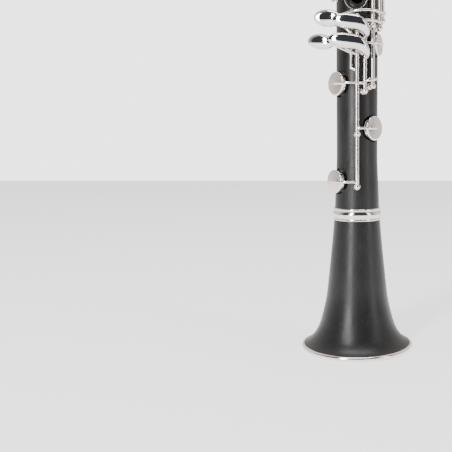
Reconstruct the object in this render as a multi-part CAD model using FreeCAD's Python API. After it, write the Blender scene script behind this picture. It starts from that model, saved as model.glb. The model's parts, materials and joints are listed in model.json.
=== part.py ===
"""A B-flat clarinet of the Boehm system, with 20 moving keys and levers, in millimetres.

The bore runs along Z. The bell's rim stands on Z = 0, the mouthpiece's tip is at the top, and the finger
holes face -Y. A place on the tube is given as (r, phi, z): r from the bore's axis, and phi in degrees round
it, 0 at the finger holes and growing towards +X. Pieces are made with the radial direction along X first,
and place() turns them to their phi.
"""
import FreeCAD
import Part
import os
from math import atan2, cos, degrees, radians, sin, sqrt

V = FreeCAD.Vector
UP = V(0, 0, 1)
ORIGIN = V(0, 0, 0)

# ---------------------------------------------------------------- driving dimensions
BELL_LENGTH = 107.5        # zero mark to the top of the bell's socket ring
RIM_Z = 6.4                # zero mark to the rim's face; nodes() lowers all shapes by it, so the rim is at Z = 0
LOWER_LENGTH = 228.0       # lower joint between its shoulders
UPPER_LENGTH = 192.0       # upper joint between its shoulders
BARREL_LENGTH = 66.0
MOUTHPIECE_LENGTH = 74.0   # what shows above the barrel
BORE_R = 7.325             # the 14.65 mm bore
RIM_R = 40.0               # bell rim
BODY_R = 14.3              # both joints, where the keys are
LOWER_FOOT_R = 15.7        # lower joint at the bell
BELL_NECK_R = 16.3         # bell just under its ring
RING_R = 16.9              # largest radius of the socket rings
RING_HEIGHT = 8.6
SOCKET_CLEARANCE = 0.05    # tenon in socket, radial

BELL_TENON = (12.1, 20.0)  # radius with its cork, length
MID_TENON = (10.9, 17.0)
TOP_TENON = (11.0, 16.5)
CORK_THICKNESS = 0.9
CORK_MARGIN = 3.0          # bare tenon left at each end of the cork

ROD_R = 0.8                # steel hinge rods and pivots
ROD_CLEARANCE = 0.04
TUBE_R = 1.45              # hinge tubes of the keys
POST_BALL_R = 2.2
POST_HALF = 1.7            # half the thickness of a post's ball along the rod
END_GAP = 0.1              # tube end to post
AXIS_R = 17.4              # usual distance of a hinge from the bore's axis
ARM_R = 1.05               # round arms that carry the cups
KNEE = 0.03                # how much fuller a bar is at its ends and bends
SPRING_R = 0.3

PAD_THICKNESS = 2.6
PAD_GAP = 0.06             # closed pad to its seat
PAD_SIDE_CLEARANCE = 0.05
CUP_WALL = 0.55
CUP_SKIRT = 1.1            # height of the cup's lower edge over the seat
CUP_TOP = 3.9              # height of the cup's middle over the seat
SEAT_WALL = 1.2            # the raised ring round a padded hole
RING_PLATE = (6.1, 7.6, 1.3)   # finger rings: inner radius, outer radius, thickness
CHIMNEY = (5.2, 1.4)       # finger-hole chimney: outer radius, height over the body
FINGER_HOLE_R = 4.0

LOWER_Z = BELL_LENGTH
JOINT_Z = LOWER_Z + LOWER_LENGTH
UPPER_TOP_Z = JOINT_Z + UPPER_LENGTH
BARREL_TOP_Z = UPPER_TOP_Z + BARREL_LENGTH
TIP_Z = BARREL_TOP_Z + MOUTHPIECE_LENGTH


# ---------------------------------------------------------------- shapes
def at(r, phi, z):
    return V(r * sin(radians(phi)), -r * cos(radians(phi)), z)


def place(shape, phi, z=0.0):
    """Turns a piece made with its radial direction along X to its angle, and lifts it."""
    placed = shape.copy()
    placed.rotate(ORIGIN, UP, phi - 90)
    placed.translate(V(0, 0, z))
    return placed


def turned(profile):
    """A solid of revolution about Z from (radius, height) points; a triple is the middle of an arc."""
    edges = []
    points = profile + [profile[0]]
    i = 0
    while i < len(points) - 1:
        start = V(points[i][0], 0, points[i][1])
        if len(points[i + 1]) == 3:
            middle = V(points[i + 1][0], 0, points[i + 1][1])
            end = V(points[i + 2][0], 0, points[i + 2][1])
            edges.append(Part.Arc(start, middle, end).toShape())
            i += 2
        else:
            end = V(points[i + 1][0], 0, points[i + 1][1])
            edges.append(Part.LineSegment(start, end).toShape())
            i += 1
    return Part.Face(Part.Wire(edges)).revolve(ORIGIN, UP, 360)


def rod(start, end, radius):
    return Part.makeCylinder(radius, (end - start).Length, start, end - start)


def ball(centre, radius):
    return Part.makeSphere(radius, centre)


def tapered(start, end, r_start, r_end):
    """A round bar from one point to another, with a ball at each end."""
    length = (end - start).Length
    if abs(r_start - r_end) < 1e-6:
        body = Part.makeCylinder(r_start, length, start, end - start)
    else:
        body = Part.makeCone(r_start, r_end, length, start, end - start)
    return body.fuse([ball(start, r_start + KNEE), ball(end, r_end + KNEE)])


def arched(start, middle, end, radius):
    """A round bar along the arc through three points, with a ball at each end."""
    path = Part.Wire([Part.Arc(start, middle, end).toShape()])
    tangent = path.Edges[0].tangentAt(path.Edges[0].FirstParameter)
    section = Part.Wire([Part.Circle(start, tangent, radius).toShape()])
    bar = path.makePipeShell([section], True, True)
    return bar.fuse([ball(start, radius + KNEE), ball(end, radius + KNEE)])


def bars(points, radius):
    """Round bars joined end to end along points."""
    pieces = [tapered(a, b, radius, radius) for a, b in zip(points, points[1:])]
    return pieces[0].fuse(pieces[1:]) if len(pieces) > 1 else pieces[0]


def laid(shape, centre, along, outward):
    """A piece made flat at the origin, long along X, set at its place with its top facing outward."""
    x = V(along).normalize()
    z = (V(outward) - x * V(outward).dot(x)).normalize()
    y = z.cross(x)
    shape.Placement = FreeCAD.Placement(FreeCAD.Matrix(x.x, y.x, z.x, centre.x, x.y, y.y, z.y, centre.y,
                                                       x.z, y.z, z.z, centre.z, 0, 0, 0, 1))
    return shape


def bean(centre, along, outward, half_length, half_width, half_height):
    """A wide touch for the little finger: an oval plate with well-rounded edges."""
    oval = Part.Wire([Part.Ellipse(V(0, 0, -0.9 * half_height), half_length, half_width).toShape()])
    plate = Part.Face(oval).extrude(V(0, 0, 1.8 * half_height))
    plate = plate.makeFillet(0.82 * half_height, [edge for edge in plate.Edges if edge.isClosed()])
    return laid(plate, centre, along, outward)


def paddle(centre, along, outward, half_length, half_width, half_height):
    """A narrow touch: a round-ended plate with chamfered edges."""
    straight = half_length - half_width
    height = 2 * half_height
    ends = [Part.makeCylinder(half_width, height, V(side * straight, 0, -half_height)) for side in (-1, 1)]
    middle = Part.makeBox(2 * straight, 2 * half_width, height, V(-straight, -half_width, -half_height))
    plate = middle.fuse(ends).removeSplitter()
    rims = [edge for edge in plate.Edges if abs(abs(edge.CenterOfMass.z) - half_height) < 1e-6]
    return laid(plate.makeChamfer(0.35 * half_height, rims), centre, along, outward)


def fused(pieces):
    whole = pieces[0].fuse(pieces[1:]) if len(pieces) > 1 else pieces[0]
    return whole.removeSplitter()


def group(solids):
    return Part.makeCompound(solids)


# ---------------------------------------------------------------- hinges, posts and pads
class Hinge:
    """A hinge line parallel to the bore, at (r, phi). Its tube carries a key between two posts."""

    def __init__(self, phi, r=AXIS_R):
        self.r = r
        self.phi = phi
        self.foot = at(r, phi, 0)

    def point(self, z, out=0.0):
        return at(self.r + out, self.phi, z)

    def tube(self, z_low, z_high):
        return Part.makeCylinder(TUBE_R, z_high - z_low, self.point(z_low), UP)

    def bore(self, z_low, z_high):
        return Part.makeCylinder(ROD_R + ROD_CLEARANCE, z_high - z_low, self.point(z_low), UP)

    def rod(self, z_low, z_high):
        return Part.makeCylinder(ROD_R, z_high - z_low, self.point(z_low), UP)

    def turn(self, shape, angle):
        """The shape turned about this hinge; a positive angle is right-handed about +Z."""
        moved = shape.copy()
        moved.rotate(self.foot, UP, angle)
        return moved

    def post(self, z, body_r):
        """A turned post: threaded foot in the body, flange, waist, and a flattened ball round the rod."""
        stem = turned([(0, body_r - 4.0), (1.1, body_r - 4.0), (1.1, body_r - 0.6), (2.3, body_r - 0.6),
                       (2.3, body_r + 0.2), (1.2, body_r + 0.8), (0.95, self.r - 2.0), (1.3, self.r),
                       (0, self.r)])
        stem.rotate(ORIGIN, V(0, 1, 0), 90)
        head = Part.makeSphere(POST_BALL_R, V(self.r, 0, 0))
        slab = Part.makeBox(12, 12, 2 * POST_HALF, V(self.r - 6, -6, -POST_HALF))
        return place(stem.fuse(head.common(slab)).removeSplitter(), self.phi, z)


class CrossHinge:
    """A hinge line across the bore, tangent to the tube at (r, phi, z)."""

    def __init__(self, phi, z, r=AXIS_R):
        self.r = r
        self.phi = phi
        self.z = z
        self.foot = at(r, phi, z)
        self.axis = V(cos(radians(phi)), sin(radians(phi)), 0)

    def tube(self, half):
        return Part.makeCylinder(TUBE_R, 2 * half, self.foot - self.axis * half, self.axis)

    def bore(self, half):
        return Part.makeCylinder(ROD_R + ROD_CLEARANCE, 2 * half, self.foot - self.axis * half, self.axis)

    def rod(self, half):
        return Part.makeCylinder(ROD_R, 2 * half, self.foot - self.axis * half, self.axis)

    def turn(self, shape, angle):
        moved = shape.copy()
        moved.rotate(self.foot, self.axis, angle)
        return moved

    def posts(self, half, body_r):
        """Two short posts, one at each end of the tube, standing straight out of the tube's wall."""
        made = []
        for side in (-1, 1):
            y = side * (half + END_GAP + POST_HALF)
            floor = sqrt(body_r ** 2 - y ** 2)
            stem = Part.makeCylinder(1.2, self.r - floor + 3.0, V(floor - 3.0, y, 0), V(1, 0, 0))
            flange = Part.makeCylinder(2.3, 1.0, V(floor - 0.8, y, 0), V(1, 0, 0))
            head = Part.makeSphere(POST_BALL_R, V(self.r, y, 0))
            slab = Part.makeBox(12, 2 * POST_HALF, 12, V(self.r - 6, y - POST_HALF, -6))
            made.append(place(stem.fuse([flange, head.common(slab)]).removeSplitter(), self.phi, self.z))
        return made


def seat_height(hole_r, body_r=BODY_R):
    """Radius of the flat seat of a padded hole: its raised ring just lies inside the tube's surface."""
    return sqrt(body_r ** 2 - (hole_r + SEAT_WALL) ** 2) - 0.1


class Pad:
    """A padded tone hole: hole and seat in the body, and the cup and pad that close it."""

    def __init__(self, phi, z, hole_r, cup_r, body_r=BODY_R):
        self.phi = phi
        self.z = z
        self.hole_r = hole_r
        self.cup_r = cup_r
        self.seat = seat_height(hole_r, body_r)

    def along(self, shape):
        laid = shape.copy()
        laid.rotate(ORIGIN, V(0, 1, 0), 90)
        laid.translate(V(self.seat, 0, 0))
        return place(laid, self.phi, self.z)

    def cut(self):
        """What the body loses: the hole, and a counterbore round the seat ring."""
        wide = self.cup_r + 0.9
        ring = Part.makeCylinder(self.hole_r + SEAT_WALL, 1.0, V(0, 0, -1.0))
        counterbore = Part.makeCylinder(wide, 12, V(0, 0, -1.0)).cut(ring)
        hole = Part.makeCylinder(self.hole_r, self.seat + 12, V(0, 0, -self.seat))
        return [self.along(counterbore), self.along(hole)]

    def cup(self):
        r = self.cup_r
        inner = r - CUP_WALL
        roof = PAD_THICKNESS + PAD_GAP
        return self.along(turned([(0, roof), (inner, roof), (inner, CUP_SKIRT), (r, CUP_SKIRT),
                                  (r, roof - 0.1), (r - 0.35, roof + 0.6, 0), (r - 1.1, roof + 0.85),
                                  (0, CUP_TOP)]))

    def pad(self):
        r = self.cup_r - CUP_WALL - PAD_SIDE_CLEARANCE
        edge = 0.5
        return self.along(turned([(0, PAD_GAP), (r - edge, PAD_GAP), (r - 0.15, PAD_GAP + 0.15, 0),
                                  (r, PAD_GAP + edge), (r, PAD_GAP + PAD_THICKNESS),
                                  (0, PAD_GAP + PAD_THICKNESS)]))

    def top(self):
        """The point on the cup's back where its arm ends."""
        return at(self.seat + CUP_TOP + 0.45, self.phi, self.z)

    def arm(self, start, middle=None):
        """The arm from the hinge, ending in a spearhead on the cup's back."""
        reach = tapered(start, self.top(), ARM_R, 0.85) if middle is None else \
            arched(start, middle, self.top(), 0.9)
        length = 0.75 * self.cup_r
        back = (V(start.x, start.y, start.z) - self.top()).normalize()
        spear = Part.makeCone(0.3, 1.5, length).common(Part.makeBox(1.3, 4, length, V(-0.65, -2, 0)))
        spear.translate(V(0, 0, -0.3 * length))
        across = abs(back.z) > 0.7
        spear.rotate(ORIGIN, V(1, 0, 0), (180 if back.z < 0 else 0) if across else -90 * self.side(start))
        spear.translate(V(self.seat + CUP_TOP, 0, 0))
        return [reach, place(spear, self.phi, self.z)]

    def side(self, start):
        """Which side of the cup the hinge is on: 1 if the arm comes from a larger phi, or -1."""
        turn = degrees(atan2(start.x, -start.y)) - self.phi
        return 1 if (turn + 180) % 360 > 180 else -1


def pads_of(*pads):
    """Everything that a list of padded holes takes from a body."""
    return [piece for pad in pads for piece in pad.cut()]


def finger_ring(z, phi=0.0, body_r=BODY_R):
    """A ring round a finger hole, as it is when pressed: level with the chimney's top."""
    inner, outer, thick = RING_PLATE
    ring = turned([(inner, -thick / 2), (outer, -thick / 2), (outer + 0.25, 0, 0), (outer, thick / 2),
                   (inner, thick / 2)])
    ring.rotate(ORIGIN, V(0, 1, 0), 90)
    ring.translate(V(body_r + CHIMNEY[1] - thick / 2, 0, 0))
    return place(ring, phi, z)


def chimney(z, phi=0.0, height=CHIMNEY[1], outer=CHIMNEY[0], body_r=BODY_R):
    """The raised collar of an open finger hole."""
    collar = Part.makeCylinder(outer, body_r + height - BORE_R - 1, V(0, 0, BORE_R + 1))
    collar.rotate(ORIGIN, V(0, 1, 0), 90)
    return place(collar, phi, z)


def hole(z, radius, phi=0.0, body_r=BODY_R):
    drill = Part.makeCylinder(radius, body_r + 6)
    drill.rotate(ORIGIN, V(0, 1, 0), 90)
    return place(drill, phi, z)


# ---------------------------------------------------------------- padded holes and hinge lines
PAD_EB = Pad(-61, 126.5, 5.2, 8.1, 14.8)       # low E/B, open at rest
PAD_FS = Pad(50, 163.0, 5.0, 8.4)              # F sharp/C sharp, closed at rest
PAD_FC = Pad(-59, 193.0, 5.2, 8.1)             # F/C, open at rest
PAD_AF = Pad(71, 219.5, 4.4, 7.6)              # A flat/E flat, closed at rest
PAD_RH = Pad(-14, 315.0, 3.4, 5.2)             # the lower rings' pad, open at rest
PAD_BF = Pad(62, 283.0, 2.8, 4.6)              # lower sliver key
PAD_CS = Pad(36, 347.0, 2.6, 4.4)              # C sharp/G sharp
PAD_SL = Pad(62, 370.0, 2.6, 4.2)              # upper sliver key
PAD_LH = Pad(-14, 395.0, 2.8, 4.4)             # the upper rings' pad, open at rest
PAD_TH = Pad(152, 430.0, 2.6, 4.2)             # thumb ring's pad, open at rest
PAD_GS = Pad(-25, 441.0, 2.4, 4.2)             # throat G sharp
PAD_TA = Pad(24, 456.0, 2.6, 4.4)              # throat A
PAD_RG = Pad(180, 500.0, 1.5, 4.2)             # register vent
SIDE_PHI = -73
SIDE_PADS = [Pad(SIDE_PHI, z, 2.6, 4.2) for z in (374.0, 420.0, 454.0, 474.0)]

LOWER_PADS = [PAD_EB, PAD_FS, PAD_FC, PAD_AF, PAD_RH, PAD_BF]
UPPER_PADS = [PAD_CS, PAD_SL, PAD_LH, PAD_TH, PAD_GS, PAD_TA, PAD_RG] + SIDE_PADS

RH_HOLES = (249.0, 271.0, 295.0)
LH_RING_HOLES = (358.0, 382.0)
LH_FIRST_HOLE = 408.0
THUMB_HOLE = 412.0

FRONT = Hinge(0)           # E/B shaft, with the F sharp/C sharp tube round it
INNER = Hinge(17.5)        # F/C below, A flat/E flat above
LEVER_FC = Hinge(37)
LEVER_EB = Hinge(62)
LEVER_FS = Hinge(84)
RH_RINGS = Hinge(-70)
LOWER_SLIVER = Hinge(34)
C_SHARP = Hinge(64)
UPPER_SLIVER = Hinge(34)
LH_RINGS = Hinge(-46)
THUMB = Hinge(130)
SIDE = Hinge(-97)
THROAT_GS = CrossHinge(-25, 429.5)
THROAT_A = CrossHinge(24, 442.0)
REGISTER = CrossHinge(180, 466.0)


# ---------------------------------------------------------------- wooden and plastic tubes
def tenon(z_shoulder, radius, length, direction, bore_r):
    """A tenon standing on a shoulder, with a groove for its cork; direction is 1 up or -1 down."""
    groove = radius - CORK_THICKNESS
    low, high = CORK_MARGIN, length - CORK_MARGIN
    steps = [(0, bore_r), (0, radius - 0.1), (low, radius - 0.1), (low, groove), (high, groove),
             (high, radius - 0.1), (length, radius - 0.1), (length, bore_r)]
    return turned([(r, z_shoulder + direction * h) for h, r in steps])


def cork(z_shoulder, radius, length, direction):
    groove = radius - CORK_THICKNESS
    low, high = z_shoulder + direction * CORK_MARGIN, z_shoulder + direction * (length - CORK_MARGIN)
    return turned([(groove, low), (radius, low), (radius, high), (groove, high)])


def beaded_ring(z_top, height, inner, outer):
    """A socket ring: a wide raised belt between two small beads."""
    step = outer - 0.75
    bead = 0.17 * height
    gap = 0.04 * height
    z = z_top - height
    return turned([(inner, z), (step, z), (outer - 0.3, z + bead / 2, 0), (step, z + bead),
                   (step, z + bead + gap), (outer + 0.15, z + height / 2, 0), (step, z_top - bead - gap),
                   (step, z_top - bead), (outer - 0.3, z_top - bead / 2, 0), (step, z_top), (inner, z_top)])


def bell():
    """The bell: a long cone that flares to its rim, with a socket at the top."""
    socket_r, depth = BELL_TENON[0] + SOCKET_CLEARANCE, BELL_TENON[1] + 0.3
    outer = [(RIM_R - 1.8, RIM_Z + 3.4), (34.4, RIM_Z + 5.9), (28.3, 20.6), (24.9, 30.5), (22.2, 42.6), (20.4, 57.0),
             (18.2, 78.0), (BELL_NECK_R, BELL_LENGTH - RING_HEIGHT)]
    inner = [(11.0, BELL_LENGTH - depth), (12.6, 66.0), (15.4, 42.0), (19.8, 25.0), (26.4, 14.4),
             (35.6, RIM_Z + 0.4)]
    outside = Part.BSplineCurve()
    outside.interpolate([V(r, 0, z) for r, z in outer])
    inside = Part.BSplineCurve()
    inside.interpolate([V(r, 0, z) for r, z in inner])
    neck = [outer[-1], (RING_R - 2.0, outer[-1][1]), (RING_R - 2.0, BELL_LENGTH), (socket_r, BELL_LENGTH),
            (socket_r, inner[0][1]), inner[0]]
    foot = [inner[-1], (36.6, RIM_Z + 0.4), (36.6, RIM_Z + 3.4), outer[0]]
    edges = [outside.toShape(), inside.toShape()]
    for corners in (neck, foot):
        edges += [Part.LineSegment(V(a[0], 0, a[1]), V(b[0], 0, b[1])).toShape()
                  for a, b in zip(corners, corners[1:])]
    wire = Part.Wire(Part.__sortEdges__(edges))
    return Part.Face(wire).revolve(ORIGIN, UP, 360)


def rim_ring():
    return turned([(36.65, RIM_Z), (RIM_R - 0.9, RIM_Z), (RIM_R - 0.26, RIM_Z + 0.55, 0), (RIM_R, RIM_Z + 1.7),
                   (RIM_R - 0.35, RIM_Z + 2.9, 0), (RIM_R - 1.3, RIM_Z + 3.4), (36.65, RIM_Z + 3.4)])


def lower_joint(posts, thumb_rest_feet):
    socket_r, depth = MID_TENON[0] + SOCKET_CLEARANCE, MID_TENON[1] + 0.3
    outer = [(LOWER_FOOT_R, LOWER_Z), (LOWER_FOOT_R - 0.1, LOWER_Z + 3), (15.2, 121.0), (14.75, 130.0),
             (BODY_R, 148.0), (BODY_R, 305.0), (15.4, JOINT_Z - 8.5)]
    inner = [(BORE_R, 186.0), (8.6, 140.0), (10.6, LOWER_Z)]
    curve = Part.BSplineCurve()
    curve.interpolate([V(r, 0, z) for r, z in outer[:5]])
    edges = [curve.toShape()]
    corners = [outer[4], outer[5], outer[6], (14.4, outer[6][1]), (14.4, JOINT_Z), (socket_r, JOINT_Z),
               (socket_r, JOINT_Z - depth), (BORE_R, JOINT_Z - depth)] + inner + [outer[0]]
    edges += [Part.LineSegment(V(a[0], 0, a[1]), V(b[0], 0, b[1])).toShape()
              for a, b in zip(corners, corners[1:])]
    tube = Part.Face(Part.Wire(edges)).revolve(ORIGIN, UP, 360)
    whole = tube.fuse([chimney(z) for z in RH_HOLES]
                      + [tenon(LOWER_Z, *BELL_TENON, -1, 10.6)]).removeSplitter()
    holes = pads_of(*LOWER_PADS) + [hole(z, FINGER_HOLE_R) for z in RH_HOLES]
    return whole.cut(holes + posts + thumb_rest_feet)


def upper_joint(posts):
    outer = [(BODY_R, JOINT_Z), (BODY_R, UPPER_TOP_Z - 26), (13.9, UPPER_TOP_Z - 12), (15.6, UPPER_TOP_Z)]
    tube = turned([(BORE_R, JOINT_Z)] + outer + [(BORE_R, UPPER_TOP_Z)])
    raised = [chimney(z) for z in LH_RING_HOLES]
    raised += [chimney(LH_FIRST_HOLE, height=1.9, outer=6.6), chimney(THUMB_HOLE, phi=180)]
    whole = tube.fuse(raised + [tenon(JOINT_Z, *MID_TENON, -1, BORE_R),
                                tenon(UPPER_TOP_Z, *TOP_TENON, 1, BORE_R)]).removeSplitter()
    holes = pads_of(*UPPER_PADS) + [hole(z, FINGER_HOLE_R - 0.2) for z in LH_RING_HOLES]
    holes += [hole(LH_FIRST_HOLE, FINGER_HOLE_R - 0.4), hole(THUMB_HOLE, 4.6, phi=180)]
    vent = Part.makeCylinder(2.6, PAD_RG.seat)
    vent.rotate(ORIGIN, V(0, 1, 0), 90)
    vent = place(vent, 180, PAD_RG.z)
    return whole.cut(holes + posts + [vent])


def bushing(phi, z, r_in, r_out, r_from, r_to):
    """A metal liner pressed into a hole from the bore side outwards."""
    liner = Part.makeCylinder(r_out, r_to - r_from, V(0, 0, r_from))
    liner = liner.cut(Part.makeCylinder(r_in, r_to - r_from, V(0, 0, r_from)))
    liner.rotate(ORIGIN, V(0, 1, 0), 90)
    return place(liner, phi, z)


def barrel():
    z0, z1 = UPPER_TOP_Z, BARREL_TOP_Z
    low_r, depth = TOP_TENON[0] + SOCKET_CLEARANCE, TOP_TENON[1] + 0.3
    seat = 14.6
    return turned([(low_r, z0), (seat, z0), (seat, z0 + 8), (15.9, z0 + 8), (17.2, z0 + 33, 0),
                   (15.7, z1 - 8), (seat, z1 - 8), (seat, z1), (low_r, z1), (low_r, z1 - depth),
                   (BORE_R, z1 - depth), (BORE_R, z0 + depth), (low_r, z0 + depth)])


def mouthpiece():
    """Hard rubber mouthpiece: a beak cut slantwise at the front, a flat table at the back for the reed."""
    z0 = BARREL_TOP_Z
    body = turned([(BORE_R, z0), (15.2, z0), (15.2, z0 + 3), (13.6, z0 + 5), (13.2, z0 + 34), (11.2, TIP_Z),
                   (BORE_R, TIP_Z)])
    body = body.fuse([tenon(z0, *TOP_TENON, -1, BORE_R),
                      Part.makeCylinder(BORE_R, TIP_Z - z0 - 30, V(0, 0, z0 + 30))]).removeSplitter()
    beak = Part.Face(Part.makePolygon([V(0, -3.2 + 10.6, TIP_Z), V(0, -16, z0 + 38), V(0, -30, z0 + 38),
                                       V(0, -30, TIP_Z + 5), V(0, 7.4, TIP_Z + 5), V(0, 7.4, TIP_Z)]))
    beak.translate(V(-20, 0, 0))
    table = Part.makeBox(40, 10, TIP_Z - z0, V(-20, MOUTHPIECE_TABLE, z0 + 7))
    window = Part.makeBox(10.6, 10, 31, V(-5.3, 0, TIP_Z - 34))
    chamber = Part.makeCone(BORE_R, 4.6, 12, V(0, 0, z0 + 28))
    throat = Part.makeBox(10.6, 8, 10, V(-5.3, 0.5, z0 + 38))
    return body.cut([beak.extrude(V(40, 0, 0)), table, window, chamber, throat])


MOUTHPIECE_TABLE = 9.4     # distance of the reed's table from the bore's axis
REED = (6.4, 3.2)          # half width, thickness of the heel


def reed():
    """A cane reed: flat on the table, full and round at the heel, scraped thin towards the tip."""
    z0, z1 = BARREL_TOP_Z + 8, TIP_Z
    flat = MOUTHPIECE_TABLE + 0.02
    side = Part.Face(Part.makePolygon([V(0, flat, z0), V(0, flat + REED[1], z0), V(0, flat + REED[1], z0 + 32),
                                       V(0, flat + 0.25, z1), V(0, flat, z1), V(0, flat, z0)]))
    side.translate(V(-REED[0], 0, 0))
    blank = side.extrude(V(2 * REED[0], 0, 0))
    back = Part.makeCylinder(12.9, z1 - z0, V(0, flat + REED[1] - 12.9, z0))
    return blank.common(back)


def ligature():
    """A metal band round mouthpiece and reed, closed by two screws through lugs at the back."""
    z0 = BARREL_TOP_Z + 10
    height = 24.0
    outer_r, wall, offset = 14.7, 0.7, 0.2
    band = Part.makeCylinder(outer_r, height, V(0, offset, z0))
    band = band.cut(Part.makeCylinder(outer_r - wall, height, V(0, offset, z0)))
    slots = [Part.makeBox(6, 40, 3.2, V(-13 + 20 * k, -20, z0 + 10.4)) for k in (0, 1)]
    band = band.cut(slots)
    lugs = []
    screws = []
    for z in (z0 + 5, z0 + height - 5):
        for x in (-3.2, 1.2):
            lug = Part.makeBox(2.0, 5.4, 5.0, V(x, outer_r + offset - wall - 0.2, z - 2.5))
            lugs.append(lug)
        centre = V(-3.2, outer_r + offset + 2.6, z)
        shank = rod(V(-4.4, centre.y, z), V(8.5, centre.y, z), 0.9)
        head = turned([(0, 8.5), (2.9, 8.5), (3.3, 8.9), (3.3, 11.4), (2.9, 11.8), (0, 11.8)])
        head.rotate(ORIGIN, V(0, 1, 0), 90)
        head.translate(V(0, centre.y, z))
        screws.append(shank.fuse(head).removeSplitter())
    return band.fuse(lugs).removeSplitter().cut(screws), group(screws)


def thumb_rest():
    """A saddle plate screwed to the back, with a hook for the thumb and a ring for a neck strap."""
    z0, height, inner = 262.0, 30.0, BODY_R + 0.02
    shell = Part.makeCylinder(inner + 1.1, height, V(0, 0, z0))
    shell = shell.cut(Part.makeCylinder(inner, height, V(0, 0, z0)))
    plate = shell.common(Part.makeBox(15, 12, height, V(-7.5, 6, z0)))
    hook = Part.Face(Part.makePolygon([V(0, inner + 0.5, z0 + 12), V(0, inner + 14, z0 + 16.5),
                                       V(0, inner + 16, z0 + 20), V(0, inner + 14.4, z0 + 20.4),
                                       V(0, inner + 12.6, z0 + 18), V(0, inner + 0.5, z0 + 14.5),
                                       V(0, inner + 0.5, z0 + 12)]))
    hook.translate(V(-6.5, 0, 0))
    hook = hook.extrude(V(13, 0, 0))
    hook = hook.common(Part.makeCylinder(8.6, 30, V(0, inner + 8, z0)).fuse(Part.makeBox(13, 9, 30, V(-6.5, inner, z0))))
    ring = Part.makeTorus(STRAP_RING_R + 1.0, 1.0, V(0, inner + STRAP_RING_R + 2.6, z0 + 8), V(1, 0, 0))
    stem = rod(V(0, inner + 0.5, z0 + 8), V(0, inner + 2.0, z0 + 8), 1.6)
    screws = []
    for z in (z0 + 3.2, z0 + height - 3.6):
        screws.append(fused([rod(V(0, inner - 4.5, z), V(0, inner + 1.1, z), 1.2),
                             Part.makeCone(1.3, 2.4, 0.9, V(0, inner + 0.7, z), V(0, 1, 0))]))
    return fused([plate, hook, ring, stem]).cut(screws), screws


STRAP_RING_R = 3.0         # inner radius of the strap ring


# ---------------------------------------------------------------- keys of the lower joint
OPEN_EB, OPEN_FC = 10.5, 10.0          # degrees between open and closed
OPEN_RINGS = 5.0
LEVER_R = 22.0                         # how far out the left-hand levers run


def carried(hinge, spans, pieces):
    """A key: its hinge tube and what the tube carries, bored for the rod."""
    whole = fused([hinge.tube(*span) for span in spans] + pieces)
    return whole.cut([hinge.bore(*span) for span in spans])


def opened(hinge, pad, angle, start, middle):
    """The cup, arm and pad of a key that stands open at rest; a positive angle opens to smaller phi."""
    cup = [hinge.turn(piece, angle) for piece in [pad.cup()] + pad.arm(start, middle)]
    return cup, hinge.turn(pad.pad(), angle)


def e_b_key():
    cup, pad = opened(FRONT, PAD_EB, OPEN_EB, FRONT.point(PAD_EB.z, 0.3), at(19.5, -32, PAD_EB.z))
    lever = bars([FRONT.point(212, 1.5), V(-4.2, -20.0, 213), V(-17, -12.9, 219.5)], 1.05)
    touch = bean(V(-24.5, -9.6, 221), V(-17, 6.5, 2.5), V(-0.4, -1, 0), 8.8, 4.5, 1.6)
    tail = arched(FRONT.point(233.6, 0.7), at(21.9, 17, 233.6), at(22.1, 31, 233.8), 0.9)
    return fused([FRONT.rod(121.3, 238.3), FRONT.tube(125.0, 157.2), FRONT.tube(208.0, 234.7), lever, touch,
                  tail] + cup), pad


def f_sharp_key():
    cup = [PAD_FS.cup()] + PAD_FS.arm(FRONT.point(163, 0.3), at(19.1, 26, 163))
    neck = bars([FRONT.point(201), V(-4.0, -15.8, 203), V(-4.0, -15.8, 226), V(-13, -14.6, 235)], 0.95)
    touch = bean(V(-19.6, -13.6, 236), V(-17.5, 4.6, 2.5), V(-0.45, -1, 0), 9.6, 5.0, 2.0)
    tail = arched(V(-9, -15.6, 238.4), at(21.4, 5, 240), at(22.1, 43, 240), 0.9)
    link = tapered(V(-9, -15.6, 238.4), V(-14, -14.6, 236), 0.9, 0.9)
    return carried(FRONT, [(160.8, 207.9)], cup + [neck, touch, tail, link]), PAD_FS.pad()


def f_c_key():
    cup, pad = opened(INNER, PAD_FC, OPEN_FC, INNER.point(193, 0.6), at(20.9, -9, 193))
    stem = arched(INNER.point(209.0, 0.6), V(7.2, -21.6, 212.6), V(5.0, -25.4, 218.4), 1.15)
    touch = bean(V(-6.2, -25.5, 219.6), V(1, 0, -0.13), V(0, -1, 0), 12.0, 4.5, 1.7)
    tail = arched(INNER.point(194.6, 0.7), at(20.4, 28, 195), at(20.1, 41, 196), 0.9)
    return carried(INNER, [(189.8, 212.0)], cup + [stem, touch, tail]), pad


def a_flat_key():
    cup = [PAD_AF.cup()] + PAD_AF.arm(INNER.point(219.5, 0.6), at(20.9, 42, 219.5))
    stem = arched(INNER.point(223.2, 0.6), V(7.2, -21.6, 226.0), V(4.8, -25.4, 231.0), 1.15)
    touch = bean(V(-4.8, -25.5, 232.2), V(1, 0, -0.13), V(0, -1, 0), 10.6, 4.5, 1.7)
    return carried(INNER, [(215.6, 227.5)], cup + [stem, touch]), PAD_AF.pad()


def lower_sliver_key():
    cup = [PAD_BF.cup()] + PAD_BF.arm(LOWER_SLIVER.point(283, 0.2), at(18.5, 48, 283))
    touch = paddle(at(17.9, 8, 283), V(cos(radians(10)), sin(radians(10)), 0), at(1, 8, 0), 7.2, 1.9, 0.9)
    reach = tapered(LOWER_SLIVER.point(283, 0.2), at(17.9, 16, 283), 0.95, 0.8)
    return carried(LOWER_SLIVER, [(278.0, 288.0)], cup + [touch, reach]), PAD_BF.pad()


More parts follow.
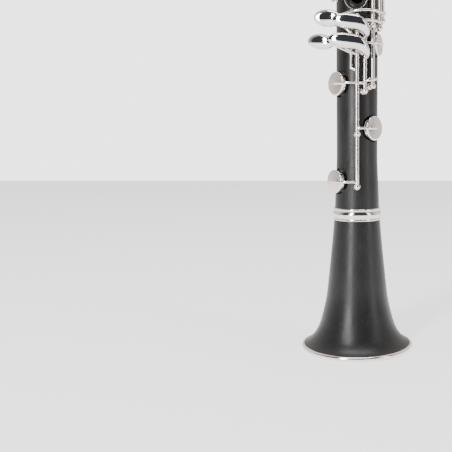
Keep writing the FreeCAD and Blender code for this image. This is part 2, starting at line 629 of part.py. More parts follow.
def ring_arm(hinge, z_hinge, z, phi=0.0):
    """The short arm from a hinge tube to the near edge of a finger ring."""
    side = 1 if hinge.phi > phi else -1
    edge_r = BODY_R + CHIMNEY[1] - RING_PLATE[2] / 2
    reach = RING_PLATE[1] - 0.1
    end = at(sqrt(edge_r ** 2 + reach ** 2), phi + side * degrees(atan2(reach, edge_r)), z)
    middle = at(18.7, (hinge.phi + phi + side * 26) / 2, (z_hinge + z) / 2)
    return arched(hinge.point(z_hinge, 0.2), middle, end, 0.95)


def right_ring_key():
    turned_open = []
    for z_hinge, z in ((254.6, RH_HOLES[0]), (RH_HOLES[1], RH_HOLES[1]), (RH_HOLES[2], RH_HOLES[2])):
        turned_open += [finger_ring(z), ring_arm(RH_RINGS, z_hinge, z)]
    turned_open += [PAD_RH.cup()] + PAD_RH.arm(RH_RINGS.point(315, 0.3), at(19.4, -42, 315))
    turned_open = [RH_RINGS.turn(piece, -OPEN_RINGS) for piece in turned_open]
    bridge = bars([RH_RINGS.point(319.0, 0.4), at(19.9, -57, 321.5), at(20.7, -48, 331),
                   at(20.8, -33, 340.5)], 0.95)
    return (carried(RH_RINGS, [(252.3, 322.2)], turned_open + [bridge]),
            RH_RINGS.turn(PAD_RH.pad(), -OPEN_RINGS))


def lever_end(bar, touch_at):
    """The long bar of a left-hand lever, and its touch for the little finger."""
    outward = V(touch_at.x, touch_at.y, 0)
    return [bars(bar + [touch_at], 1.05), paddle(touch_at, UP, outward, 9.0, 4.2, 1.4)]


def left_f_c_lever():
    """The longest of the three levers turns on its own shaft, which runs through three posts."""
    foot = bars([LEVER_FC.point(196, 0.3), at(18.1, 27.3, 196)], 0.9)
    bar = [LEVER_FC.point(250.5, 0.7), at(LEVER_R, 43, 257.5), at(LEVER_R, 58, 318)]
    tubes = [LEVER_FC.tube(193.0, 229.5), LEVER_FC.tube(233.1, 258.0)]
    return fused([LEVER_FC.rod(189.5, 261.5), foot] + tubes + lever_end(bar, at(22.6, 64, 331)))


def left_e_b_lever():
    foot = arched(LEVER_EB.point(233.8, 0.7), at(20.4, 46, 233.8), at(20.0, 31, 233.8), 0.9)
    bar = [LEVER_EB.point(250.5, 0.7), at(LEVER_R, 68, 257.5), at(LEVER_R, 82, 318)]
    return carried(LEVER_EB, [(232.1, 258.0)], [foot] + lever_end(bar, at(22.6, 90, 329)))


def left_f_sharp_lever():
    foot = arched(LEVER_FS.point(240, 0.7), at(20.7, 63, 240), at(20.0, 43, 240), 0.9)
    bar = [LEVER_FS.point(250.5, 0.7), at(LEVER_R, 91, 257.5), at(LEVER_R, 106, 318)]
    return carried(LEVER_FS, [(237.8, 258.0)], [foot] + lever_end(bar, at(22.6, 116, 337)))


# ---------------------------------------------------------------- keys of the upper joint
def c_sharp_key():
    cup = [PAD_CS.cup()] + PAD_CS.arm(C_SHARP.point(347, 0.2), at(18.6, 50, 347))
    bar = bars([C_SHARP.point(355, 0.6), at(20.2, 78, 359), at(20.9, 90, 363)], 1.0)
    touch = paddle(at(20.9, 92, 363), V(0, 0, 1), at(1, 92, 0), 7.4, 3.8, 1.4)
    return carried(C_SHARP, [(343.0, 358.0)], cup + [bar, touch]), PAD_CS.pad()


def upper_sliver_key():
    cup = [PAD_SL.cup()] + PAD_SL.arm(UPPER_SLIVER.point(370, 0.2), at(18.4, 48, 370))
    touch = paddle(at(17.9, 8, 370), V(cos(radians(10)), sin(radians(10)), 0), at(1, 8, 0), 7.2, 1.9, 0.9)
    reach = tapered(UPPER_SLIVER.point(370, 0.2), at(17.9, 16, 370), 0.95, 0.8)
    return carried(UPPER_SLIVER, [(366.0, 374.0)], cup + [touch, reach]), PAD_SL.pad()


def left_ring_key():
    turned_open = []
    for z in LH_RING_HOLES:
        turned_open += [finger_ring(z), ring_arm(LH_RINGS, z, z)]
    turned_open += [PAD_LH.cup()] + PAD_LH.arm(LH_RINGS.point(395, 0.2), at(18.8, -32, 395))
    turned_open = [LH_RINGS.turn(piece, -OPEN_RINGS) for piece in turned_open]
    tab = bars([LH_RINGS.point(349.5, 0.3), at(17.5, -33, 347.5), at(17.5, -33, 341)], 0.95)
    return (carried(LH_RINGS, [(346.0, 402.0)], turned_open + [tab]),
            LH_RINGS.turn(PAD_LH.pad(), -OPEN_RINGS))


def thumb_ring_key():
    pieces = [finger_ring(THUMB_HOLE, 180), ring_arm(THUMB, THUMB_HOLE, THUMB_HOLE, 180), PAD_TH.cup()]
    pieces += PAD_TH.arm(THUMB.point(430, 0.2), at(18.6, 141, 430))
    pieces = [THUMB.turn(piece, -OPEN_RINGS) for piece in pieces]
    return carried(THUMB, [(408.0, 434.0)], pieces), THUMB.turn(PAD_TH.pad(), -OPEN_RINGS)


def throat_key(hinge, pad, z_touch, phi_touch):
    """A short lever over the front: touch below, cross hinge, cup above."""
    arm = pad.arm(at(hinge.r + 0.5, hinge.phi, hinge.z))
    tip = at(hinge.r + 2.2, phi_touch, z_touch)
    lever = tapered(at(hinge.r + 0.6, hinge.phi, hinge.z), tip, 1.1, 0.7)
    touch = paddle(tip, tip - hinge.foot, at(1, phi_touch, 0), 4.6, 3.0, 1.0)
    whole = fused([hinge.tube(THROAT_HALF), pad.cup(), lever, touch] + arm)
    return whole.cut(hinge.bore(THROAT_HALF)), pad.pad()


THROAT_HALF = 3.6          # half the length of a cross hinge's tube


def register_key():
    start = at(REGISTER.r + 0.5, 180, REGISTER.z)
    lever = bars([start, at(19.6, 180, 446), at(20.4, 180, 432)], 1.15)
    touch = paddle(at(20.6, 180, 430), V(0, 0.06, 1), V(0, 1, 0), 7.6, 3.6, 1.3)
    arm = bars([start, at(19.2, 180, 492)], 1.05)
    whole = fused([REGISTER.tube(THROAT_HALF), PAD_RG.cup(), lever, touch, arm]
                  + PAD_RG.arm(at(19.2, 180, 492)))
    return whole.cut(REGISTER.bore(THROAT_HALF)), PAD_RG.pad()


SIDE_TUBES = [(364.0, 384.0), (410.0, 430.0), (446.0, 462.0), (465.6, 482.0)]
SIDE_POSTS = (362.2, 385.8, 408.2, 431.8, 444.2, 463.8, 483.8)
SIDE_BARS = (-111, -119, -127, -135)
SIDE_TOUCHES = ((-104, 346.0), (-119, 350.0), (-134, 354.0), (-149, 358.0))


def side_key(number):
    """One of the four side keys: a touch low down, a bar along the tube's side, and a cup."""
    pad, span, phi = SIDE_PADS[number], SIDE_TUBES[number], SIDE_BARS[number]
    phi_touch, z_touch = SIDE_TOUCHES[number]
    arm = pad.arm(SIDE.point(pad.z, 0.2), at(18.6, (SIDE.phi + SIDE_PHI) / 2, pad.z))
    touch_at = at(20.4, phi_touch, z_touch)
    bar = bars([SIDE.point(span[0] + 5.0, 0.3), at(19.0, phi, span[0] + 1.5), at(19.0, phi, z_touch + 12),
                touch_at], 0.95)
    touch = paddle(touch_at, UP, at(1, phi_touch, 0), 8.0, 1.9, 1.2)
    return carried(SIDE, [span], [pad.cup(), bar, touch] + arm), pad.pad()


# ---------------------------------------------------------------- posts, rods and springs
# hinge, heights of its posts, radius of the body under them
LOWER_LINES = [(FRONT, (159.0, 236.5)), (INNER, (188.0, 213.8, 229.3)), (LEVER_FC, (191.2, 231.3, 259.8)),
               (LEVER_EB, (230.3, 259.8)), (LEVER_FS, (236.0, 259.8)), (RH_RINGS, (250.5,)),
               (LOWER_SLIVER, (276.2, 289.8))]
UPPER_LINES = [(C_SHARP, (341.2, 359.8)), (UPPER_SLIVER, (364.2, 375.8)), (LH_RINGS, (344.2, 403.8)),
               (THUMB, (406.2, 435.8)), (SIDE, SIDE_POSTS)]
CROSS_HINGES = [THROAT_GS, THROAT_A, REGISTER]


def lower_posts():
    posts = [hinge.post(z, BODY_R) for hinge, heights in LOWER_LINES for z in heights]
    return posts + [FRONT.post(123.2, 15.1), RH_RINGS.post(324.0, 15.2)]


def upper_posts():
    posts = [hinge.post(z, BODY_R) for hinge, heights in UPPER_LINES for z in heights]
    return posts + [post for hinge in CROSS_HINGES for post in hinge.posts(THROAT_HALF, BODY_R)]


def rods_on(lines):
    return [hinge.rod(low, high) for hinge, low, high in lines]


def needles_on(lines):
    """Blued needles standing in the posts, along the keys' tubes and close to the body."""
    return [Part.makeCylinder(SPRING_R, high - low, at(BODY_R + 0.95, hinge.phi, low), UP)
            for hinge, low, high in lines]


# hinge, bottom and top of its rod; the front line and the longest lever turn on shafts of their own
LOWER_RODS = [(INNER, 186.3, 231.0), (LEVER_EB, 228.6, 261.5), (LEVER_FS, 234.3, 261.5),
              (RH_RINGS, 248.8, 325.7), (LOWER_SLIVER, 274.5, 291.5)]
UPPER_RODS = [(C_SHARP, 339.5, 361.5), (UPPER_SLIVER, 362.5, 377.5), (LH_RINGS, 342.5, 405.5),
              (THUMB, 404.5, 437.5), (SIDE, 360.5, 485.5)]
LOWER_NEEDLES = [(FRONT, 121.5, 140.0), (FRONT, 157.3, 178.0), (INNER, 197.0, 215.5),
                 (INNER, 216.0, 231.0), (RH_RINGS, 248.8, 268.0), (LOWER_SLIVER, 274.5, 286.0)]
UPPER_NEEDLES = [(C_SHARP, 339.5, 353.0), (UPPER_SLIVER, 362.5, 372.0), (LH_RINGS, 342.5, 352.0),
                 (THUMB, 404.5, 424.0), (SIDE, 366.0, 387.5), (SIDE, 412.0, 433.5), (SIDE, 442.5, 456.0),
                 (SIDE, 462.1, 478.0)]


# ---------------------------------------------------------------- the assembly
def nodes():
    """Every node of the part, by name."""
    lower_rods, lower_needles = rods_on(LOWER_RODS), needles_on(LOWER_NEEDLES)
    upper_rods, upper_needles = rods_on(UPPER_RODS), needles_on(UPPER_NEEDLES)
    upper_rods += [hinge.rod(THROAT_HALF + END_GAP + 2 * POST_HALF) for hinge in CROSS_HINGES]
    shafts = [FRONT.bore(120, 240), LEVER_FC.bore(188, 263)]
    lower = [post.cut(shafts + lower_rods + lower_needles) for post in lower_posts()]
    upper = [post.cut(upper_rods + upper_needles) for post in upper_posts()]
    rest, rest_screws = thumb_rest()
    band, band_screws = ligature()
    liner = bushing(180, THUMB_HOLE, 3.6, 4.6, BORE_R + 0.1, BODY_R + CHIMNEY[1] + 0.2)
    vent = bushing(180, PAD_RG.z, 1.5, 2.6, BORE_R - 2.0, PAD_RG.seat)
    made = {
        "bell": bell(),
        "bell_rim_ring": rim_ring(),
        "bell_socket_ring": beaded_ring(BELL_LENGTH, RING_HEIGHT, RING_R - 2.0, RING_R),
        "lower_joint": lower_joint(lower_posts(), rest_screws),
        "lower_joint_cork": cork(LOWER_Z, *BELL_TENON, -1),
        "lower_joint_ring": beaded_ring(JOINT_Z, 8.5, 14.4, 16.4),
        "upper_joint": upper_joint(upper_posts()),
        "upper_joint_corks": group([cork(JOINT_Z, *MID_TENON, -1), cork(UPPER_TOP_Z, *TOP_TENON, 1)]),
        "barrel": barrel(),
        "barrel_rings": group([beaded_ring(UPPER_TOP_Z + 8, 8, 14.6, 16.6),
                               beaded_ring(BARREL_TOP_Z, 8, 14.6, 16.4)]),
        "mouthpiece": mouthpiece(),
        "mouthpiece_cork": cork(BARREL_TOP_Z, *TOP_TENON, -1),
        "reed": reed(),
        "ligature_band": band,
        "ligature_screws": band_screws,
        "thumb_rest": rest,
        "tone_hole_liners": group([liner, vent]),
        "lower_posts": group(lower),
        "upper_posts": group(upper),
        "lower_rods_and_screws": group(lower_rods + rest_screws),
        "upper_rods": group(upper_rods),
        "lower_springs": group(lower_needles),
        "upper_springs": group(upper_needles),
        "left_f_c_lever": left_f_c_lever(),
        "left_e_b_lever": left_e_b_lever(),
        "left_f_sharp_lever": left_f_sharp_lever(),
    }
    keys = {
        "e_b": e_b_key(), "f_sharp": f_sharp_key(), "f_c": f_c_key(), "a_flat": a_flat_key(),
        "lower_sliver": lower_sliver_key(), "right_ring": right_ring_key(), "c_sharp": c_sharp_key(),
        "upper_sliver": upper_sliver_key(), "left_ring": left_ring_key(), "thumb_ring": thumb_ring_key(),
        "throat_g_sharp": throat_key(THROAT_GS, PAD_GS, 418.5, -12),
        "throat_a": throat_key(THROAT_A, PAD_TA, 421.5, 14), "register": register_key(),
        "side_1": side_key(0), "side_2": side_key(1), "side_3": side_key(2), "side_4": side_key(3),
    }
    for name, (key, pad) in keys.items():
        made[name + "_key"] = key
        made[name + "_pad"] = pad
    return {name: shape.translated(V(0, 0, -RIM_Z)) for name, shape in made.items()}


if __name__ == "__main__":
    os.makedirs("parts", exist_ok=True)
    for name, shape in nodes().items():
        shape.exportStep("parts/" + name + ".step")
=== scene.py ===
"""A B-flat clarinet standing on its bell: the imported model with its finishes, and the small turned pieces
that sit on it. Sizes are in metres. The bore runs along Z, and the finger holes face -Y."""
import json
from math import cos, pi, radians, sin

import bmesh
import bpy
from mathutils import Matrix, Vector


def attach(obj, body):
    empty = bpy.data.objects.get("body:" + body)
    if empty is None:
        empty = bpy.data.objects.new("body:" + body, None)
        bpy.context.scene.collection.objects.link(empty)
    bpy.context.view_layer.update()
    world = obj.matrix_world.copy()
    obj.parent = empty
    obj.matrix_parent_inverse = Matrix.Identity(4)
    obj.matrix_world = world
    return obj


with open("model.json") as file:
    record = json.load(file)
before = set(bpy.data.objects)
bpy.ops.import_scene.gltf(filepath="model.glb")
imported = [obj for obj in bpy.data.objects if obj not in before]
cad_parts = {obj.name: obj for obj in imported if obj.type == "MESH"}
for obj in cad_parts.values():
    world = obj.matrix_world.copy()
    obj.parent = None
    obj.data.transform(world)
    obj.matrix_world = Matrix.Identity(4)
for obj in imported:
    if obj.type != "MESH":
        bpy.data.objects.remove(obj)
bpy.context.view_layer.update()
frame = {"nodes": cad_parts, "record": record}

# ------------------------------------------------------------------ wooden tubes
# Bell, two joints and barrel are turned from black wood, oiled and left satin. The pores run along the
# bore as fine short streaks, and the surface is a little greyer and rougher where it has been handled.
BLACK_WOOD = (0.0042, 0.0040, 0.0042, 1)
GREY_WOOD = (0.0125, 0.0110, 0.0105, 1)
SATIN, OILED_SHEEN = (0.33, 0.42), 0.42
PORES_PER_M, PORE_STRETCH, PORE_DEPTH = 1500, 22, 0.00005


def new_material(name):
    """An empty material with one Principled shader, returned with its node tree and that shader."""
    material = bpy.data.materials.new(name)
    material.use_nodes = True
    tree = material.node_tree
    return material, tree, tree.nodes["Principled BSDF"]


def new_group(name, inputs, outputs):
    """An empty shader node group with named sockets; each entry is a name, a socket type and a default."""
    group = bpy.data.node_groups.new(name, "ShaderNodeTree")
    for label, kind, value in inputs:
        socket = group.interface.new_socket(label, in_out="INPUT", socket_type=kind)
        socket.default_value = value
    for label, kind in outputs:
        group.interface.new_socket(label, in_out="OUTPUT", socket_type=kind)
    return group, group.nodes.new("NodeGroupInput"), group.nodes.new("NodeGroupOutput")


def grain_group():
    """Streaks along Z: Density streaks per metre round the tube, Stretch times longer than they are wide."""
    group, given, result = new_group(
        "long_grain",
        [("Density", "NodeSocketFloat", 1500.0), ("Stretch", "NodeSocketFloat", 22.0)],
        [("Streaks", "NodeSocketFloat"), ("Clouds", "NodeSocketFloat")])
    nodes, links = group.nodes, group.links
    place = nodes.new("ShaderNodeTexCoord")
    squeeze = nodes.new("ShaderNodeCombineXYZ")
    squeeze.inputs["X"].default_value = 1
    squeeze.inputs["Y"].default_value = 1
    inverse = nodes.new("ShaderNodeMath")
    inverse.operation = "DIVIDE"
    inverse.inputs[0].default_value = 1
    links.new(given.outputs["Stretch"], inverse.inputs[1])
    links.new(inverse.outputs[0], squeeze.inputs["Z"])
    stretched = nodes.new("ShaderNodeVectorMath")
    stretched.operation = "MULTIPLY"
    links.new(place.outputs["Object"], stretched.inputs[0])
    links.new(squeeze.outputs[0], stretched.inputs[1])
    streaks = nodes.new("ShaderNodeTexNoise")
    streaks.inputs["Detail"].default_value = 3
    streaks.inputs["Roughness"].default_value = 0.6
    links.new(stretched.outputs[0], streaks.inputs["Vector"])
    links.new(given.outputs["Density"], streaks.inputs["Scale"])
    clouds = nodes.new("ShaderNodeTexNoise")
    clouds.inputs["Scale"].default_value = 45
    clouds.inputs["Detail"].default_value = 4
    links.new(place.outputs["Object"], clouds.inputs["Vector"])
    links.new(streaks.outputs["Fac"], result.inputs["Streaks"])
    links.new(clouds.outputs["Fac"], result.inputs["Clouds"])
    return group


def between(tree, factor, low, high, start=0.35, end=0.65):
    """A Map Range node from a 0 to 1 factor to low..high, for roughness and masks."""
    node = tree.nodes.new("ShaderNodeMapRange")
    node.inputs["From Min"].default_value = start
    node.inputs["From Max"].default_value = end
    node.inputs["To Min"].default_value = low
    node.inputs["To Max"].default_value = high
    tree.links.new(factor, node.inputs["Value"])
    return node.outputs["Result"]


def two_tone(tree, factor, low, high):
    """A colour between two, by a 0 to 1 factor."""
    node = tree.nodes.new("ShaderNodeMix")
    node.data_type = "RGBA"
    node.inputs["A"].default_value = low
    node.inputs["B"].default_value = high
    tree.links.new(factor, node.inputs["Factor"])
    return node.outputs["Result"]


def bumped(tree, shader, height, strength, distance):
    """Raises a surface by a 0 to 1 height; the distance is in metres."""
    node = tree.nodes.new("ShaderNodeBump")
    node.inputs["Strength"].default_value = strength
    node.inputs["Distance"].default_value = distance
    tree.links.new(height, node.inputs["Height"])
    tree.links.new(node.outputs["Normal"], shader.inputs["Normal"])


LONG_GRAIN = grain_group()


GRAIN_STRENGTH = 0.35


def grained(name, base, streak, roughness, density, stretch, grain_depth):
    """A material with the long grain in its colour, its roughness and its surface."""
    material, tree, shader = new_material(name)
    grain = tree.nodes.new("ShaderNodeGroup")
    grain.node_tree = LONG_GRAIN
    grain.inputs["Density"].default_value = density
    grain.inputs["Stretch"].default_value = stretch
    mask = between(tree, grain.outputs["Streaks"], 0, 1, 0.42, 0.72)
    tree.links.new(two_tone(tree, mask, base, streak), shader.inputs["Base Color"])
    tree.links.new(between(tree, grain.outputs["Clouds"], *roughness), shader.inputs["Roughness"])
    bumped(tree, shader, grain.outputs["Streaks"], GRAIN_STRENGTH, grain_depth)
    return material


def finish_nodes(material, slot):
    """Gives the material to every node of one material slot of the record."""
    for part in frame["record"]["subparts"]:
        if part["material_slot"] == slot:
            mesh = frame["nodes"][part["node"]].data
            mesh.materials.clear()
            mesh.materials.append(material)


black_wood = grained("satin_black_wood", BLACK_WOOD, GREY_WOOD, SATIN, PORES_PER_M, PORE_STRETCH,
                     PORE_DEPTH)
black_wood.node_tree.nodes["Principled BSDF"].inputs["Specular IOR Level"].default_value = OILED_SHEEN
finish_nodes(black_wood, "black_wood")

# ------------------------------------------------------------------ mouthpiece and liners
# The mouthpiece is polished hard rubber, ground to a beak; the liners of the thumb hole and the register
# vent are of the same rubber. Handling leaves faint cloudy patches on the polish.
RUBBER_BLACK = (0.007, 0.007, 0.0075, 1)
POLISHED, LINER_POLISH = (0.10, 0.22), (0.2, 0.3)


def rubber(name, roughness):
    """Black rubber whose polish is cloudy between two roughnesses."""
    material, tree, shader = new_material(name)
    shader.inputs["Base Color"].default_value = RUBBER_BLACK
    patches = tree.nodes.new("ShaderNodeGroup")
    patches.node_tree = LONG_GRAIN
    tree.links.new(between(tree, patches.outputs["Clouds"], *roughness), shader.inputs["Roughness"])
    return material


finish_nodes(rubber("polished_hard_rubber", POLISHED), "hard_rubber")
finish_nodes(rubber("liner_rubber", LINER_POLISH), "liner")

# ------------------------------------------------------------------ reed
# A blade of straw-coloured cane, scraped thin at the tip, with long fibres.
CANE, CANE_FIBRE = (0.62, 0.44, 0.19, 1), (0.42, 0.27, 0.10, 1)
finish_nodes(grained("cane", CANE, CANE_FIBRE, (0.5, 0.62), 2600, 40, 0.00005), "cane")

# ------------------------------------------------------------------ corks
# Sheets of natural cork glued in the tenons' grooves and greased. The grain is short and freckled.
CORK, CORK_FRECKLE = (0.47, 0.29, 0.15, 1), (0.22, 0.12, 0.06, 1)
finish_nodes(grained("tenon_cork", CORK, CORK_FRECKLE, (0.65, 0.8), 1300, 1.5, 0.0002), "cork")

# ------------------------------------------------------------------ keys, posts and rings
# Keys, posts, socket rings and the rim ring are cast or turned nickel silver, plated with nickel and
# buffed. The plate is bright and slightly warm, dulled a little where fingers rest.
NICKEL = (0.86, 0.795, 0.765, 1)
DULL_NICKEL = (0.70, 0.63, 0.60, 1)


def smudge_group():
    """Patches where the polish is dulled: Size in patches per metre, Amount from 0 to 1."""
    group, given, result = new_group(
        "handled_polish",
        [("Size", "NodeSocketFloat", 90.0), ("Amount", "NodeSocketFloat", 0.5)],
        [("Smudge", "NodeSocketFloat"), ("Scratches", "NodeSocketFloat")])
    nodes, links = group.nodes, group.links
    place = nodes.new("ShaderNodeTexCoord")
    patches = nodes.new("ShaderNodeTexNoise")
    patches.inputs["Detail"].default_value = 5
    patches.inputs["Roughness"].default_value = 0.62
    links.new(place.outputs["Object"], patches.inputs["Vector"])
    links.new(given.outputs["Size"], patches.inputs["Scale"])
    sharpen = nodes.new("ShaderNodeMapRange")
    sharpen.inputs["From Min"].default_value = 0.45
    sharpen.inputs["From Max"].default_value = 0.75
    links.new(patches.outputs["Fac"], sharpen.inputs["Value"])
    scaled = nodes.new("ShaderNodeMath")
    scaled.operation = "MULTIPLY"
    links.new(sharpen.outputs["Result"], scaled.inputs[0])
    links.new(given.outputs["Amount"], scaled.inputs[1])
    scratches = nodes.new("ShaderNodeTexNoise")
    scratches.inputs["Scale"].default_value = 900
    links.new(place.outputs["Object"], scratches.inputs["Vector"])
    links.new(scaled.outputs[0], result.inputs["Smudge"])
    links.new(scratches.outputs["Fac"], result.inputs["Scratches"])
    return group


HANDLED_POLISH = smudge_group()


SCRATCH_STRENGTH, SCRATCH_DEPTH = 0.08, 0.00003


def polished(name, bright, dull, rough_low, rough_high, amount):
    """A bright metal that is dulled by an amount of handling, with fine scratches."""
    material, tree, shader = new_material(name)
    shader.inputs["Metallic"].default_value = 1
    polish = tree.nodes.new("ShaderNodeGroup")
    polish.node_tree = HANDLED_POLISH
    polish.inputs["Amount"].default_value = amount
    smudge = polish.outputs["Smudge"]
    tree.links.new(two_tone(tree, smudge, bright, dull), shader.inputs["Base Color"])
    tree.links.new(between(tree, smudge, rough_low, rough_high, 0, 1), shader.inputs["Roughness"])
    bumped(tree, shader, polish.outputs["Scratches"], SCRATCH_STRENGTH, SCRATCH_DEPTH)
    return material


finish_nodes(polished("buffed_nickel", NICKEL, DULL_NICKEL, 0.07, 0.20, 0.5), "key_plate")
finish_nodes(polished("ring_nickel", NICKEL, DULL_NICKEL, 0.10, 0.24, 0.5), "nickel_plate")

# ------------------------------------------------------------------ pads
# Discs of felt wrapped in pale skin, glued into the cups.
PAD_SKIN, PAD_SKIN_WORN = (0.70, 0.58, 0.42, 1), (0.52, 0.40, 0.27, 1)
finish_nodes(grained("pad_skin", PAD_SKIN, PAD_SKIN_WORN, (0.45, 0.6), 900, 1.0, 0.00005), "pad_skin")

# ------------------------------------------------------------------ rods, screws and springs
# Drawn steel rods through the posts, and blued steel needles beside them.
STEEL, STEEL_DULL = (0.50, 0.50, 0.51, 1), (0.36, 0.36, 0.37, 1)
BLUED, BLUED_DULL = (0.035, 0.05, 0.12, 1), (0.02, 0.025, 0.05, 1)
steel = polished("drawn_steel", STEEL, STEEL_DULL, 0.22, 0.38, 0.6)
finish_nodes(steel, "steel")
finish_nodes(polished("blued_steel", BLUED, BLUED_DULL, 0.25, 0.35, 0.5), "blued_steel")

# ------------------------------------------------------------------ slotted pivot heads
# Every rod ends in a low slotted head on the outer face of its last post, so that it can be unscrewed.
HEAD_R, HEAD_HEIGHT, SLOT_WIDTH, SLOT_DEPTH = 0.00125, 0.0006, 0.00035, 0.0003
HEAD_TAPER = 0.86           # top of a head to its foot
AXIS_R = 0.0174             # hinge lines to the bore's axis
RIM_DROP = 0.0064           # heights of keys are counted from a mark this far under the rim

# angle of each hinge line from the front in degrees, then the heights of its two end faces
LOWER_LINES = {17.5: (0.1863, 0.2310), 62: (0.2286, 0.2615), 84: (0.2343, 0.2615), -70: (0.2488, 0.3257),
               34: (0.2745, 0.2915)}
UPPER_LINES = {64: (0.3395, 0.3615), 34: (0.3625, 0.3775), -46: (0.3425, 0.4055), 130: (0.4045, 0.4375),
               -97: (0.3605, 0.4855)}


def add_head(shape, centre, facing):
    """One slotted head added to a bmesh, standing on a post's face and facing up (1) or down (-1)."""
    disc = bmesh.new()
    bmesh.ops.create_cone(disc, cap_ends=True, segments=28, radius1=HEAD_R, radius2=HEAD_R * HEAD_TAPER,
                          depth=HEAD_HEIGHT, matrix=Matrix.Translation((0, 0, HEAD_HEIGHT / 2)))
    for side in (-1, 1):
        bmesh.ops.bisect_plane(disc, geom=disc.verts[:] + disc.edges[:] + disc.faces[:],
                               plane_co=(side * SLOT_WIDTH / 2, 0, 0), plane_no=(1, 0, 0))
    floor = [face for face in disc.faces
             if abs(face.calc_center_median().x) < SLOT_WIDTH / 2 and face.normal.z > 0.9]
    sunk = bmesh.ops.extrude_discrete_faces(disc, faces=floor)["faces"]
    bmesh.ops.translate(disc, vec=(0, 0, -SLOT_DEPTH), verts=list({v for face in sunk for v in face.verts}))
    turn = Matrix.Identity(4) if facing > 0 else Matrix.Rotation(pi, 4, "X")
    bmesh.ops.transform(disc, matrix=Matrix.Translation(centre) @ turn, verts=disc.verts)
    mesh = bpy.data.meshes.new("head")
    disc.to_mesh(mesh)
    disc.free()
    shape.from_mesh(mesh)
    bpy.data.meshes.remove(mesh)


def piece(name, shape, material, body):
    """Turns a bmesh into a piece that rides on a body."""
    mesh = bpy.data.meshes.new(name)
    shape.to_mesh(mesh)
    shape.free()
    mesh.materials.append(material)
    made = bpy.data.objects.new(name, mesh)
    bpy.context.collection.objects.link(made)
    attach(made, body)
    return made


for body, lines in (("lower_body", LOWER_LINES), ("upper_body", UPPER_LINES)):
    heads = bmesh.new()
    for phi, faces in lines.items():
        spot = (AXIS_R * sin(radians(phi)), -AXIS_R * cos(radians(phi)))
        for facing, z in zip((-1, 1), faces):
            add_head(heads, Vector((*spot, z - RIM_DROP)), facing)
    piece(body + "_pivot_heads", heads, steel, body)

# ------------------------------------------------------------------ touches for the little finger
# Four cast pebbles, round on every side and polished brightest of all. The two in front narrow at their
# right ends and curl down like commas to the tubes that carry them.
COMMA_TURN = 1.5            # radians that a comma curls through
# The touches' nickel is painted darker than the other keys' nickel. This is painted shade that stands in for
# the dark reflections the touches show, with handling wear mixed in at random.
TOUCH_NICKEL_PAINTED_DARK, TOUCH_DULL_PAINTED_DARK = (0.80, 0.77, 0.76, 1), (0.68, 0.64, 0.62, 1)
touch_plate_painted_dark = polished("buffed_touch_painted_dark", TOUCH_NICKEL_PAINTED_DARK, TOUCH_DULL_PAINTED_DARK, 0.05, 0.14, 0.4)


def pebble(name, centre, along, outward, half_sizes, body, comma=None):
    """A pebble on a key. A comma is (where its curl begins, the curl's radius, how far it sinks)."""
    shape = bmesh.new()
    bmesh.ops.create_icosphere(shape, subdivisions=5, radius=1)
    bmesh.ops.scale(shape, vec=half_sizes, verts=shape.verts)
    if comma:
        start, radius, sink = comma
        reach = (start + radius * COMMA_TURN) / half_sizes[0]
        ahead = [vertex for vertex in shape.verts if vertex.co.x > 0]
        bmesh.ops.scale(shape, vec=(reach, 1, 1), verts=ahead)
        for vertex in ahead:
            turn = (vertex.co.x - start) / radius
            if turn > 0:
                y = vertex.co.y
                vertex.co.x = start + (radius + y) * sin(turn)
                vertex.co.y = (radius + y) * cos(turn) - radius
                vertex.co.z -= sink * (turn / COMMA_TURN) ** 3
    axis_z = Vector(outward).normalized()
    axis_x = (Vector(along) - axis_z * Vector(along).dot(axis_z)).normalized()
    axis_y = axis_z.cross(axis_x)
    if axis_y.z < 0:
        axis_x, axis_y = -axis_x, -axis_y
    turned = Matrix((axis_x, axis_y, axis_z)).transposed().to_4x4()
    seat = Vector(centre) / 1000 - Vector((0, 0, RIM_DROP))
    bmesh.ops.transform(shape, matrix=Matrix.Translation(seat) @ turned, verts=shape.verts)
    bmesh.ops.recalc_face_normals(shape, faces=shape.faces)
    for face in shape.faces:
        face.smooth = True
    return piece(name, shape, touch_plate_painted_dark, body)


# centre and directions in millimetres, half sizes in metres
pebble("e_b_touch", (-24.5, -9.6, 221), (-17, 6.5, 2.5), (-0.4, -1, 0), (0.0098, 0.0052, 0.0031), "e_b_body")
pebble("f_sharp_touch", (-19.6, -13.6, 236), (-17.5, 4.6, 2.5), (-0.45, -1, 0), (0.0104, 0.0057, 0.0032),
       "f_sharp_body")
pebble("f_c_touch", (-6.2, -25.5, 219.6), (1, 0, -0.13), (0, -1, 0), (0.0131, 0.0051, 0.0031), "f_c_body",
       comma=(0.004, 0.0085, 0.004))
pebble("a_flat_touch", (-4.8, -25.5, 232.2), (1, 0, -0.13), (0, -1, 0), (0.0117, 0.0051, 0.0031),
       "a_flat_body", comma=(0.0032, 0.0083, 0.004))

# ------------------------------------------------------------------ floor
# A pale seamless sheet that the bell stands on.
FLOOR_SIZE = 4.0
PAPER, PAPER_GLOW = (0.9, 0.9, 0.9, 1), 1.1
pale_paper, _, paper_shader = new_material("pale_paper")
paper_shader.inputs["Base Color"].default_value = PAPER
paper_shader.inputs["Emission Color"].default_value = (1, 1, 1, 1)
paper_shader.inputs["Emission Strength"].default_value = PAPER_GLOW
paper_shader.inputs["Roughness"].default_value = 0.9
sheet = bmesh.new()
bmesh.ops.create_grid(sheet, x_segments=1, y_segments=1, size=FLOOR_SIZE / 2)
floor_mesh = bpy.data.meshes.new("floor")
sheet.to_mesh(floor_mesh)
sheet.free()
floor_mesh.materials.append(pale_paper)
floor = bpy.data.objects.new("floor", floor_mesh)
bpy.context.collection.objects.link(floor)

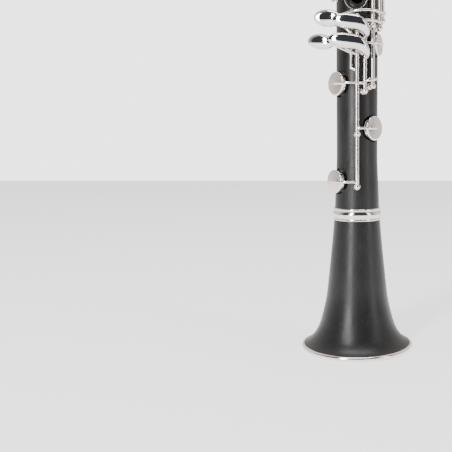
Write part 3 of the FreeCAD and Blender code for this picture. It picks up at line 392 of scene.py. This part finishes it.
# ------------------------------------------------------------------ light
# A white room that is dim behind the camera, so that bright metal has something dark to mirror, with one
# broad soft lamp at the left, one at the right and a long strip over the top.
WHITE_ROOM, DIM_SIDE = (1.15, 1.12, 1.1, 1), (0.05, 0.055, 0.065, 1)
BACKDROP = (3.2, 3.2, 3.2, 1)
world = bpy.data.worlds.new("room")
bpy.context.scene.world = world
world.use_nodes = True
room_nodes, room_links = world.node_tree.nodes, world.node_tree.links
facing = room_nodes.new("ShaderNodeTexCoord")
split = room_nodes.new("ShaderNodeSeparateXYZ")
room_links.new(facing.outputs["Generated"], split.inputs[0])
side = between(world.node_tree, split.outputs["Y"], 0, 1, -0.35, 0.35)
wall = two_tone(world.node_tree, side, DIM_SIDE, WHITE_ROOM)
seen = room_nodes.new("ShaderNodeLightPath")
backdrop = room_nodes.new("ShaderNodeMix")
backdrop.data_type = "RGBA"
backdrop.inputs["B"].default_value = BACKDROP
room_links.new(seen.outputs["Is Camera Ray"], backdrop.inputs["Factor"])
room_links.new(wall, backdrop.inputs["A"])
room_links.new(backdrop.outputs["Result"], room_nodes["Background"].inputs["Color"])
room_nodes["Background"].inputs["Strength"].default_value = 1.0


def lamp(name, place, aim, size, power):
    """An area lamp at a place, facing a point."""
    light = bpy.data.lights.new(name, "AREA")
    light.shape = "RECTANGLE"
    light.size, light.size_y = size
    light.energy = power
    stand = bpy.data.objects.new(name, light)
    stand.location = place
    stand.rotation_euler = (Vector(aim) - Vector(place)).to_track_quat("-Z", "Y").to_euler()
    bpy.context.collection.objects.link(stand)


lamp("left_softbox", (-0.55, -1.0, 0.5), (0, 0, 0.2), (0.22, 1.5), 22)
lamp("right_softbox", (1.1, -0.6, 0.5), (0, 0, 0.2), (0.3, 1.4), 5)
lamp("top_strip", (0.0, -0.2, 1.7), (0, 0, 0.3), (1.2, 0.5), 14)

# ------------------------------------------------------------------ camera
# At the height of the lower keys, half a metre in front, tilted down a little; the lens is shifted so
# that the instrument stands right of the middle.
CAMERA_PLACE = (0.0, -0.512, 0.1506)
TILT_DOWN = 7.0
LENS, SHIFT = 57.7, -0.29
eye = bpy.data.cameras.new("camera")
eye.lens = LENS
eye.sensor_width = 36.0
eye.shift_x = SHIFT
eye.clip_start = 0.01
camera = bpy.data.objects.new("camera", eye)
camera.location = CAMERA_PLACE
camera.rotation_euler = (radians(90 - TILT_DOWN), 0, 0)
bpy.context.collection.objects.link(camera)
bpy.context.scene.camera = camera
